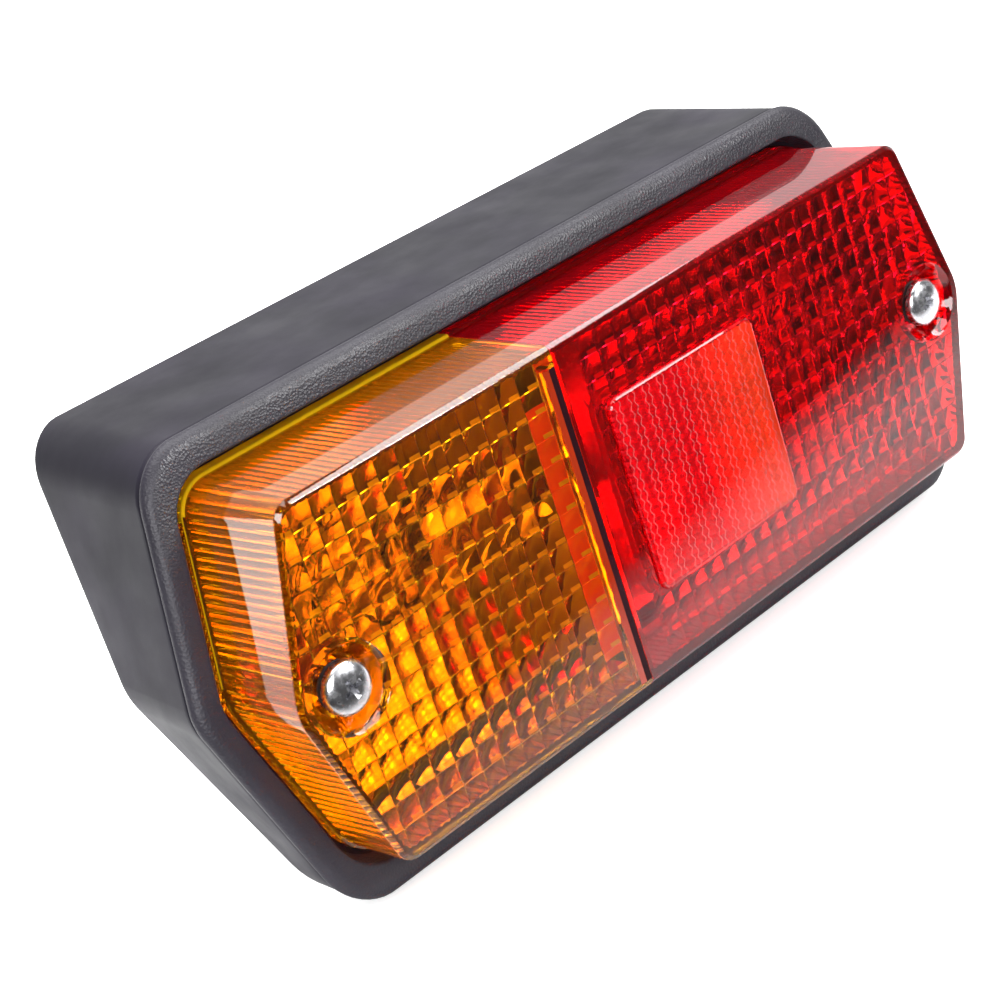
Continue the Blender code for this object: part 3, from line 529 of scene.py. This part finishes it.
def pillow_block(name, first, cells, low, high):
    """A block whose front face is a field of pillow cells, with plain bands out to low and high."""
    lip = 0.02 * MM
    xs = [(low, False), (first - lip, False)]
    xs += [(first + CELL * (i + mark), True) for i in range(cells) for mark in CELL_MARKS]
    xs.append((first + CELL * cells, True))
    xs += [(first + CELL * cells + lip, False), (high, False)]
    xs = [(x, swelling) for x, swelling in xs if low <= x <= high]
    bm = bmesh.new()
    half = ROWS * CELL / 2
    grid = []
    for x, swelling in xs:
        u = 2 * (((x - first) / CELL + 1e-6) % 1.0) - 1
        column = []
        for row in [j + mark for j in range(ROWS) for mark in CELL_MARKS] + [ROWS]:
            v = 2 * (row % 1.0) - 1
            swell = pillow(u, v) if swelling else 0.0
            column.append(bm.verts.new((x, FRONT_Y + FRONT_WALL + swell, -half + CELL * row)))
        grid.append(column)
    for left, right in zip(grid, grid[1:]):
        for j in range(len(left) - 1):
            bm.faces.new((left[j], right[j], right[j + 1], left[j + 1]))
    edges = [e for e in bm.edges if e.is_boundary]
    made = bmesh.ops.extrude_edge_only(bm, edges=edges)["geom"]
    for vert in [g for g in made if isinstance(g, bmesh.types.BMVert)]:
        vert.co.y = 20 * MM
    bmesh.ops.holes_fill(bm, edges=[e for e in bm.edges if e.is_boundary])
    return finish_mesh(name, bm)


def lens_outside(name):
    """The lens's outer skin as a solid: bevelled front, drafted sides and the bead round the foot."""
    rings = []
    for inset, depth in CHAMFER:
        outline = hexagon(grown(FRONT_SIZES, -inset * MM), (4.2 - inset) * MM, (12.0 - inset) * MM)
        rings.append(ring(outline, FRONT_Y + depth * MM))
    for grow, above in ((-0.1, 3.4), (0.35, 3.25), (0.5, 3.0), (0.5, 0.0)):
        sizes = grown(FOOT_SIZES, grow * MM)
        rings.append(rim_ring(sizes, FOOT_DEPTH - above * MM, (8.0 + grow) * MM))
    return loft(name, rings)


def screw_boss(name, x):
    """The round boss behind a screw's well."""
    return turned(name, [
        (0, -BOSS_END), (5.8 * MM, -BOSS_END), (6.4 * MM, -BOSS_END + 0.6 * MM), (6.4 * MM, -FRONT_Y - 12 * MM),
        (WELL_RADII[0] + 1.2 * MM, -FRONT_Y - 1.4 * MM), (0, -FRONT_Y - 1.4 * MM),
    ], (x, 0, 0), (0, -1, 0))


def screw_well(name, x):
    """The conical well, its rounded mouth and the bore below it."""
    floor = -FRONT_Y - WELL_DEPTH
    lip = 0.5 * MM
    return turned(name, [
        (0, -BOSS_END - 2 * MM), (2.9 * MM, -BOSS_END - 2 * MM), (2.9 * MM, floor), (WELL_RADII[1], floor),
        (WELL_RADII[0], -FRONT_Y - lip), (WELL_RADII[0] + lip, -FRONT_Y), (WELL_RADII[0] + lip, -FRONT_Y + MM),
        (0, -FRONT_Y + MM),
    ], (x, 0, 0), (0, -1, 0))


def lens_half(name, amber):
    """One half of the lens: the skin, less the ribbed hollow with its pillow prisms, the well and the seam."""
    side = -1 if amber else 1
    far = 130 * MM
    front = FRONT_Y - 5 * MM
    inside = fluted_prism(name + "_inside")
    cutters = [screw_well(name + "_well", side * SCREW_X)]
    bosses = [screw_boss(name + "_boss", side * SCREW_X)]
    if amber:
        cells = 15
        block = pillow_block(name + "_block", AMBER_CELLS_END - cells * CELL, cells, -far, SEAM_X + 4 * MM)
        cutters.append(box(name + "_trim", (SEAM_X, -far, -far), (far, far, far)))
        cutters.append(seam_strip(name + "_groove", 0.03 * MM))
    else:
        block = pillow_block(name + "_block", RED_CELLS_START, 22, SEAM_X - 4 * MM, far)
        bosses.append(box(name + "_wall", (-far, front, -far), (SEAM_X + PARTITION[0], FRONT_Y + PARTITION[1], far)))
        window = reflex_outline(0.0)
        cutters.append(box(name + "_trim", (-far, -far, -far), (SEAM_X + SEAM_GAP, far, far)))
        cutters.append(loft(name + "_window", [ring(window, FRONT_Y - 3 * MM), ring(window, FRONT_Y + 8 * MM)]))
    boolean(inside, [block], "INTERSECT")
    boolean(inside, bosses, "DIFFERENCE")
    lens = lens_outside(name)
    boolean(lens, [inside] + cutters, "DIFFERENCE")
    return crease_pillows(smooth(lens))


def seam_strip(name, grow=0.0, left=-SEAM_STRIP[0], right=0.0):
    """The strip let into the front where the two halves of the lens meet, between two places across it; it carries
    the seam's painted shade and painted red glow.
    """
    low, high = STRIP_REACH
    top = FRONT_Y + 0.04 * MM - 100 * grow
    bend = -0.9 * MM
    profile = [(left - grow, top), (right + grow, top)]
    for x in (right + grow, bend, left - grow):
        if left - grow <= x <= right + grow:
            slant = min(1.0, max(0.0, (bend - x) / (bend + SEAM_STRIP[0])))
            profile.append((x, FRONT_Y + SEAM_STRIP[1] - 1.6 * MM * slant))
    return loft(name, [[(SEAM_X - 0.05 * MM + x, y, z) for x, y in profile] for z in (low - grow, high + grow)])


def reflex_outline(amount, steps=8):
    left, right = REFLEX_X[0] - amount, REFLEX_X[1] + amount
    top = REFLEX_HALF_HEIGHT + amount
    corners = [(right, -top), (right, top), (left, top), (left, -top)]
    return rounded(corners, [2.6 * MM + amount] * 4, steps)


def cube_corner_block(name, front, middle_x, side_sign):
    """A block on one side of the middle whose front face is a field of hexagonal cube corners."""
    side = HEX_CELL / math.sqrt(3)
    step = HEX_CELL / math.sqrt(6)
    reach = math.sqrt(3) * HEX_CELL / 2
    bm = bmesh.new()
    for column in range(-1, 13):
        for row in range(-11, 12):
            cx = column * reach
            cz = (row + (0.5 if column % 2 else 0.0)) * HEX_CELL
            corners = []
            for k in range(6):
                angle = math.pi / 3 * k
                x = cx + side * math.cos(angle)
                corners.append(bm.verts.new((middle_x + side_sign * x, front + (step if k % 2 else 0.0),
                                             cz + side * math.sin(angle))))
            apex = bm.verts.new((middle_x + side_sign * cx, front + 2 * step, cz))
            for k in (1, 3, 5):
                bm.faces.new((apex, corners[k], corners[(k + 1) % 6], corners[(k + 2) % 6]))
    bmesh.ops.remove_doubles(bm, verts=bm.verts, dist=1e-6)
    edges = [e for e in bm.edges if e.is_boundary]
    made = bmesh.ops.extrude_edge_only(bm, edges=edges)["geom"]
    for vert in [g for g in made if isinstance(g, bmesh.types.BMVert)]:
        vert.co.y = front + 12 * MM
    bmesh.ops.holes_fill(bm, edges=[e for e in bm.edges if e.is_boundary])
    return finish_mesh(name, bm, 10.0)


def reflex():
    """The raised reflector: a bevelled front, a flange behind the lens wall, cube corners on its back."""
    front = FRONT_Y - REFLEX_PROUD
    behind = FRONT_Y + 2.9 * MM
    rings = [ring(reflex_outline(-inset * MM), front + depth * MM) for inset, depth in
             ((0.85, 0.0), (0.62, 0.06), (0.32, 0.36), (0.2, 0.7))]
    rings += [
        ring(reflex_outline(-0.2 * MM), behind),
        ring(reflex_outline(1.6 * MM), behind),
        ring(reflex_outline(1.6 * MM), behind + 1.6 * MM),
        ring(reflex_outline(-1.4 * MM), behind + 1.6 * MM),
    ]
    block = loft("reflex_block", rings)
    middle = (REFLEX_X[0] + REFLEX_X[1]) / 2
    hollows = []
    for side_sign in (-1, 1):
        hollow = loft("reflex_hollow", [ring(reflex_outline(-1.6 * MM), FRONT_Y - 0.2 * MM),
                                        ring(reflex_outline(-1.6 * MM), FRONT_Y + 9 * MM)])
        half = box("reflex_half", (middle + min(0, side_sign * 0.05), FRONT_Y - 0.02, -0.1),
                   (middle + max(0, side_sign * 0.05), FRONT_Y + 0.05, 0.1))
        cells = cube_corner_block("reflex_cells", FRONT_Y + 0.7 * MM, middle, side_sign)
        hollows.append(boolean(hollow, [half, cells], "INTERSECT"))
    boolean(block, hollows, "DIFFERENCE")
    return smooth(block, 12.0)


def second_finish(obj, material, chosen):
    """Gives the faces that the test picks a material of their own."""
    obj.data.materials.append(material)
    for face in obj.data.polygons:
        if chosen(face):
            face.material_index = len(obj.data.materials) - 1


def outer_wall(face):
    """A face on the outside of the lens's side walls: it looks away from the lens's middle, not to the front."""
    flat = Vector((face.normal.x, face.normal.z))
    return face.normal.y > -0.5 and flat.length > 0.8 and flat.dot(Vector((face.center.x, face.center.z))) > 0


def foot_bead(face):
    """A face of the small bead along the top of the lens's foot, which gets a painted bright glow."""
    depth = face.center.y - RIM_Y - RIM_SLOPE * face.center.z
    outwards = face.normal.x * face.center.x + face.normal.z * face.center.z
    return depth > FOOT_DEPTH - 3.45 * MM and outwards > 0 and face.normal.y < 0.5 and face.normal.z > 0.3


def partition_face(face):
    """The side of the red half's partition that looks into the amber half, which gets a painted red glow."""
    return face.normal.x < -0.9 and abs(face.center.x - SEAM_X) < 0.4 * MM and face.center.y > FRONT_Y + 4 * MM


def last_column(face):
    """The pillows next to the seam, given a painted red-orange glow that stands in for the red half showing behind
    them.
    """
    across = AMBER_CELLS_END - face.center.x
    deep = face.center.y - FRONT_Y - FRONT_WALL
    return 0 < across < CELL and -0.1 * MM < deep < 1.5 * MM and abs(face.center.z) < 27.5 * MM


def painted_pillow_glint(first):
    """Picks the small faces in the lower right corner of each pillow of a field that starts here, which get a
    painted glint.
    """
    def chosen(face):
        x = (face.center.x - first) / CELL % 1.0
        z = (face.center.z / CELL + ROWS / 2) % 1.0
        deep = face.center.y - FRONT_Y - FRONT_WALL
        return 0.05 * MM < deep < 2 * MM and 0.03 < z < 0.2 and 0.5 < x < 0.97 and abs(face.normal.y) > 0.8
    return chosen


def partition_painted_shade():
    """A black sheet put as painted shade on the lower part of the red half's partition, as seen from the amber side.
    """
    low, high = FRONT_Y + 8.2 * MM, FRONT_Y + PARTITION[1]
    reach = 33.4 * MM
    rings = []
    for x, inset in ((-0.75, 0.3), (-0.55, 0.0), (-0.15, 0.0)):
        edge = inset * MM
        corners = ((low + edge, -reach + edge), (low + edge, reach - edge),
                   (high - edge, reach - edge), (high - edge, -reach + edge))
        rings.append([(SEAM_X + x * MM, y, z) for y, z in corners])
    return loft("partition_painted_shade", rings)


def build_lens():
    """Both halves of the lens, the reflector, and the strips along the seam."""
    amber = lens_half("amber_lens_moulding", True)
    finish_piece(amber, "lens", AMBER, "amber_lens", "amber_lens")
    second_finish(amber, AMBER_WALL, outer_wall)
    # painted glow on the last amber column and the foot bead, painted glints on the pillows
    second_finish(amber, AMBER_COLUMN_PAINTED_GLOW, last_column)
    second_finish(amber, AMBER_PAINTED_GLINT, painted_pillow_glint(AMBER_CELLS_END))
    second_finish(amber, AMBER_FOOT_PAINTED_GLOW, foot_bead)
    red = lens_half("red_lens_moulding", False)
    finish_piece(red, "lens", RED, "red_lens", "red_lens")
    second_finish(red, RED_WALL, outer_wall)
    second_finish(red, RED_PAINTED_GLINT, painted_pillow_glint(RED_CELLS_START))
    # painted red glow on the partition's face
    second_finish(red, RED_PARTITION_PAINTED_GLOW, partition_face)
    raised = finish_piece(reflex(), "lens", REFLEX, "reflex_plastic", "reflex_reflector")
    second_finish(raised, REFLEX_FRONT_PAINTED_LIGHT, lambda face: face.normal.y < -0.99 and face.center.y < FRONT_Y - MM)
    # painted shade along the seam, a painted red glow beside it, and a black sheet as painted shade behind the seam
    finish_piece(seam_strip("seam_strip", left=-DARK_STRIP), "lens", SEAM, "housing_plastic")
    finish_piece(seam_strip("seam_painted_glow_strip", right=-DARK_STRIP - 0.03 * MM), "lens", SEAM_PAINTED_GLOW, "red_lens")
    finish_piece(partition_painted_shade(), "lens", BLACK, "housing_plastic")


# ---------------------------------------------------------------- screws

def build_screws():
    """Pan heads with a cross recess, domed and turned."""
    seat = -FRONT_Y - WELL_DEPTH + 2.0 * MM
    radius = 5.4 * MM
    tip = -BOSS_END - 9.5 * MM
    for side, x in (("left", -SCREW_X), ("right", SCREW_X)):
        profile = [(0, tip), (1.6 * MM, tip), (2.4 * MM, tip + 1.4 * MM), (2.4 * MM, seat),
                   (radius - 0.2 * MM, seat), (radius, seat + 0.2 * MM), (radius, seat + 1.0 * MM)]
        steps = 10
        for i in range(1, steps):
            angle = math.pi / 2 * i / steps
            profile.append((radius * math.cos(angle) ** 0.8, seat + 1.0 * MM + 2.0 * MM * math.sin(angle)))
        profile.append((0, seat + 3.0 * MM))
        screw = turned(side + "_screw_detail", profile, (x, 0, 0), (0, -1, 0), 64, 40.0)
        top = seat + 3.0 * MM
        wings = []
        for turn in (math.radians(20), math.radians(110)):
            rings = []
            for depth, long_side, short_side in ((-2.3, 0.6, 0.28), (-0.9, 1.6, 0.42), (0.4, 2.7, 0.62)):
                corners = [(-long_side, -short_side), (long_side, -short_side), (long_side, short_side),
                           (-long_side, short_side)]
                spun = [Matrix.Rotation(turn, 2) @ Vector(c) for c in corners]
                rings.append([(x + c.x * MM, -(top + depth * MM), c.y * MM) for c in spun])
            wings.append(loft(side + "_wing", rings))
        boolean(screw, wings, "DIFFERENCE")
        finish_piece(smooth(screw, 40.0), side + "_screw", SCREW, "zinc_steel", side + "_lens_screw")


# ---------------------------------------------------------------- housing

def bowed(points, amount, end=90 * MM):
    """Long edges pulled in a little between the corners."""
    moved = []
    for x, y, z in points:
        middle = max(0.0, 1 - (x / end) ** 4)
        moved.append((x, y, z - math.copysign(amount * middle, z) * min(1.0, abs(z) / (35 * MM))))
    return moved


def build_housing():
    """The shell with its rim, the recess for the lens's foot, the seat, the cavity, the holes and the posts."""
    recess = grown(FOOT_SIZES, 0.8 * MM)
    seat = grown(FOOT_SIZES, -4.2 * MM)
    cavity = grown(HOUSING_SIZES, -3.0 * MM)
    outer = []
    for depth, inset in ((0.0, 1.5), (0.12, 0.95), (0.5, 0.42), (1.1, 0.1), (1.9, 0.0)):
        back = bowed(back_ring(grown(BACK_SIZES, -inset * MM), depth * MM, (13.0 - inset) * MM), 1.8 * MM)
        outer.append([(x + BACK_SHIFT, y, z) for x, y, z in back])
    rim_profile = (
        (4.4, 0.3), (3.7, 0.4), (3.4, 0.7), (3.15, 0.85), (2.9, 0.7), (2.65, 0.25), (2.3, 0.04),
        (1.9, 0.0), (1.45, 0.05), (1.0, 0.3), (0.58, 0.72), (0.26, 1.25), (0.07, 1.9), (0.0, 2.7), (0.0, 3.6),
    )
    for depth, inset in rim_profile:
        outer.append(bowed(rim_ring(grown(HOUSING_SIZES, -inset * MM), depth * MM, (13.4 - inset) * MM), 1.2 * MM))
    inner = [
        rim_ring(grown(recess, 2.5 * MM), 0, 11.5 * MM),
        rim_ring(grown(recess, 2.0 * MM), 0.15 * MM, 11.0 * MM),
        rim_ring(grown(recess, 1.7 * MM), 0.6 * MM, 10.7 * MM),
        rim_ring(grown(recess, 1.0 * MM), FOOT_DEPTH - 1.5 * MM, 10.0 * MM),
        rim_ring(recess, FOOT_DEPTH - 0.6 * MM, 9.0 * MM),
        rim_ring(recess, FOOT_DEPTH + 1.6 * MM, 9.0 * MM),
        rim_ring(seat, FOOT_DEPTH + 1.6 * MM, 5.0 * MM),
        rim_ring(seat, FOOT_DEPTH + 4.6 * MM, 5.0 * MM),
        rim_ring(cavity, FOOT_DEPTH + 4.6 * MM, 10.0 * MM),
        back_ring(cavity, 3.0 * MM, 10.0 * MM),
    ]
    housing = loft("housing_shell", outer + inner)
    cutters = []
    out_of_back = (0, math.cos(TILT), -math.sin(TILT))
    for x in (-BOLT_X, BOLT_X):
        profile = [(0, -8 * MM), (BOLT_HOLE_RADIUS, -8 * MM), (BOLT_HOLE_RADIUS, 5 * MM), (0, 5 * MM)]
        cutters.append(turned("bolt_hole", profile, (x, 0, 0), out_of_back))
    grommet_x, grommet_up = GROMMET_AT
    up = Vector((0, math.sin(TILT), math.cos(TILT))) * grommet_up
    for radius, low in ((7 * MM, -8 * MM), (9.8 * MM, -1.7 * MM)):
        profile = [(0, low), (radius, low), (radius, 5 * MM), (0, 5 * MM)]
        cutters.append(turned("grommet_hole", profile, (grommet_x, up.y, up.z), out_of_back))
    boolean(housing, cutters, "DIFFERENCE")
    posts = []
    angles = [2 * math.pi * i / 40 for i in range(40)]
    for x in (-SCREW_X, SCREW_X):
        circle = [(x + POST_RADIUS * math.cos(a), POST_RADIUS * math.sin(a)) for a in angles]
        posts.append(loft("post", [ring(circle, -1.5 * MM / math.cos(TILT), BACK_SLOPE), ring(circle, -POST_END)]))
    boolean(housing, posts, "UNION")
    low, high = BORE_ENDS
    profile = [(0, low), (POST_BORE_RADIUS, low), (POST_BORE_RADIUS, high), (0, high)]
    bores = [turned("bore", profile, (x, 0, 0), (0, -1, 0)) for x in (-SCREW_X, SCREW_X)]
    boolean(housing, bores, "DIFFERENCE")
    smooth(housing, 35.0)
    finish_piece(housing, "housing", BLACK, "housing_plastic", "housing")
    second_finish(housing, GRAINED, lambda face: face.center.y - RIM_Y - RIM_SLOPE * face.center.z < 2.75 * MM)


# ---------------------------------------------------------------- carried-over pieces

def dress_nodes():
    """Better materials for the nodes that keep their own shape."""
    finishes = {
        "rubber": RUBBER, "zinc_steel": ZINC, "bright_plate": CHROME, "brass": BRASS, "bakelite": BAKELITE,
        "clear_glass": GLASS, "filament_wire": TUNGSTEN, "housing_plastic": BLACK,
    }
    special = {"socket_plate": TRAY, "chamber_divider": DIVIDER}
    for part in frame["record"]["subparts"]:
        finish = finishes.get(part["material_slot"])
        if finish:
            node = frame["nodes"][part["node"]]
            node.data.materials.clear()
            node.data.materials.append(special.get(part["node"], finish))


# ---------------------------------------------------------------- stage

def build_stage():
    """A pale floor that fades into the white surroundings."""
    floor_z = CAD_BOX[0][2] - 1.0 * MM
    bm = bmesh.new()
    bmesh.ops.create_grid(bm, x_segments=8, y_segments=8, size=1.0)
    for vert in bm.verts:
        vert.co = (vert.co.x, vert.co.y + 0.8, floor_z)
    floor = finish_mesh("floor", bm)
    pale = Shader("pale_floor", (0.86, 0.86, 0.86), 0.9)
    pale.rough(pale.noise(3.0), 0.3, 0.7, 0.85, 0.95)
    split = pale.node("ShaderNodeSeparateXYZ")
    pale.link(pale.coordinates, split.inputs["Vector"])
    turned_x = pale.maths("MULTIPLY", split.outputs["X"], FLOOR_FADE_TURN)
    shares = [pale.ramp(pale.maths("ADD", split.outputs["Y"], turned_x), *FLOOR_FADE_FRONT, 0.0, 1.0),
              pale.ramp(split.outputs["Y"], 0.75, 0.45, 0.0, 1.0),
              pale.ramp(split.outputs["X"], -0.75, -0.4, 0.0, 1.0),
              pale.ramp(split.outputs["X"], 0.75, 0.4, 0.0, 1.0)]
    share = shares[0]
    for other in shares[1:]:
        share = pale.maths("MULTIPLY", share, other)
    pale.link(share, pale.main.inputs["Alpha"])
    pale.set("Emission Color", (1.0, 1.0, 1.0, 1.0))
    seen = pale.tree.nodes.new("ShaderNodeLightPath").outputs["Is Camera Ray"]
    pale.link(pale.maths("MULTIPLY", seen, 0.6), pale.main.inputs["Emission Strength"])
    floor.data.materials.append(pale.material)


def build_world():
    """White surroundings; in reflections and through the lens they darken towards the front and the left."""
    world = bpy.data.worlds.new("studio")
    bpy.context.scene.world = world
    world.use_nodes = True
    tree = world.node_tree
    background = tree.nodes["Background"]
    background.inputs["Strength"].default_value = 1.25
    direction = tree.nodes.new("ShaderNodeTexCoord")
    split = tree.nodes.new("ShaderNodeSeparateXYZ")
    tree.links.new(direction.outputs["Generated"], split.inputs["Vector"])
    shade = tree.nodes.new("ShaderNodeMapRange")
    shade.interpolation_type = "SMOOTHSTEP"
    for name, value in (("From Min", -0.55), ("From Max", 0.15), ("To Min", 0.06), ("To Max", 1.0)):
        shade.inputs[name].default_value = value
    tree.links.new(split.outputs["Y"], shade.inputs["Value"])
    leftwards = tree.nodes.new("ShaderNodeMapRange")
    leftwards.interpolation_type = "SMOOTHSTEP"
    for name, value in (("From Min", -0.75), ("From Max", 0.1), ("To Min", 0.25), ("To Max", 1.0)):
        leftwards.inputs[name].default_value = value
    tree.links.new(split.outputs["X"], leftwards.inputs["Value"])
    both = tree.nodes.new("ShaderNodeMath")
    both.operation = "MULTIPLY"
    tree.links.new(shade.outputs["Result"], both.inputs[0])
    tree.links.new(leftwards.outputs["Result"], both.inputs[1])
    path = tree.nodes.new("ShaderNodeLightPath")
    mirrored = tree.nodes.new("ShaderNodeMath")
    mirrored.use_clamp = True
    tree.links.new(path.outputs["Is Glossy Ray"], mirrored.inputs[0])
    tree.links.new(path.outputs["Is Transmission Ray"], mirrored.inputs[1])
    dimmed = tree.nodes.new("ShaderNodeMix")
    dimmed.inputs[2].default_value = 1.5
    tree.links.new(mirrored.outputs["Value"], dimmed.inputs[0])
    tree.links.new(both.outputs["Value"], dimmed.inputs[3])
    tree.links.new(dimmed.outputs[0], background.inputs["Color"])


def area_light(name, at, target, size, power):
    """A rectangular softbox aimed at a point."""
    light = bpy.data.lights.new(name, "AREA")
    light.shape = "RECTANGLE"
    light.size, light.size_y = size
    light.energy = power
    obj = bpy.data.objects.new(name, light)
    bpy.context.scene.collection.objects.link(obj)
    obj.location = at
    obj.rotation_euler = (Vector(target) - Vector(at)).to_track_quat("-Z", "Y").to_euler()
    return obj


def build_lights():
    """One soft light overhead, and four more that only show as reflections."""
    area_light("overhead_softbox", (0.1, -0.1, 1.1), (0, 0, 0), (1.2, 1.0), 24.0)
    for name, at, size, power in (
            ("edge_strip", (0.53, -0.30, 0.70), (0.62, 0.20), 5.5),
            ("left_softbox", (-0.71, 0.84, 0.0), (0.35, 0.5), 2.4),
            ("front_softbox", (0.43, -0.80, 0.42), (0.20, 0.22), 15.0),
            ("camera_softbox", (-0.38, -0.52, 0.225), (0.35, 0.35), 5.5)):
        light = area_light(name, at, (0, -0.05, 0), size, power)
        light.visible_diffuse = False


def build_camera():
    """The photo's view of the lamp, from a perspective fit of its outlines."""
    place = Vector((-260.5, -354.0, 154.4)) * MM
    azimuth, down, roll = math.radians(35.68), math.radians(20.40), math.radians(-18.49)
    camera = bpy.data.cameras.new("camera")
    camera.sensor_width = 36.0
    camera.lens = 75.1
    camera.clip_start = 0.01
    camera.clip_end = 200.0
    obj = bpy.data.objects.new("camera", camera)
    bpy.context.scene.collection.objects.link(obj)
    turn = Matrix.Rotation(-azimuth, 4, "Z") @ Matrix.Rotation(math.pi / 2 - down, 4, "X")
    obj.matrix_world = Matrix.Translation(place) @ turn @ Matrix.Rotation(roll, 4, "Z")
    bpy.context.scene.camera = obj


# ---------------------------------------------------------------- assembly

build_lens()
build_screws()
build_housing()
dress_nodes()
build_stage()
build_world()
build_lights()
build_camera()

scene = bpy.context.scene
scene.view_settings.view_transform = "Standard"
scene.cycles.use_denoising = True
scene.cycles.max_bounces = 24
scene.cycles.transmission_bounces = 20
scene.cycles.glossy_bounces = 10
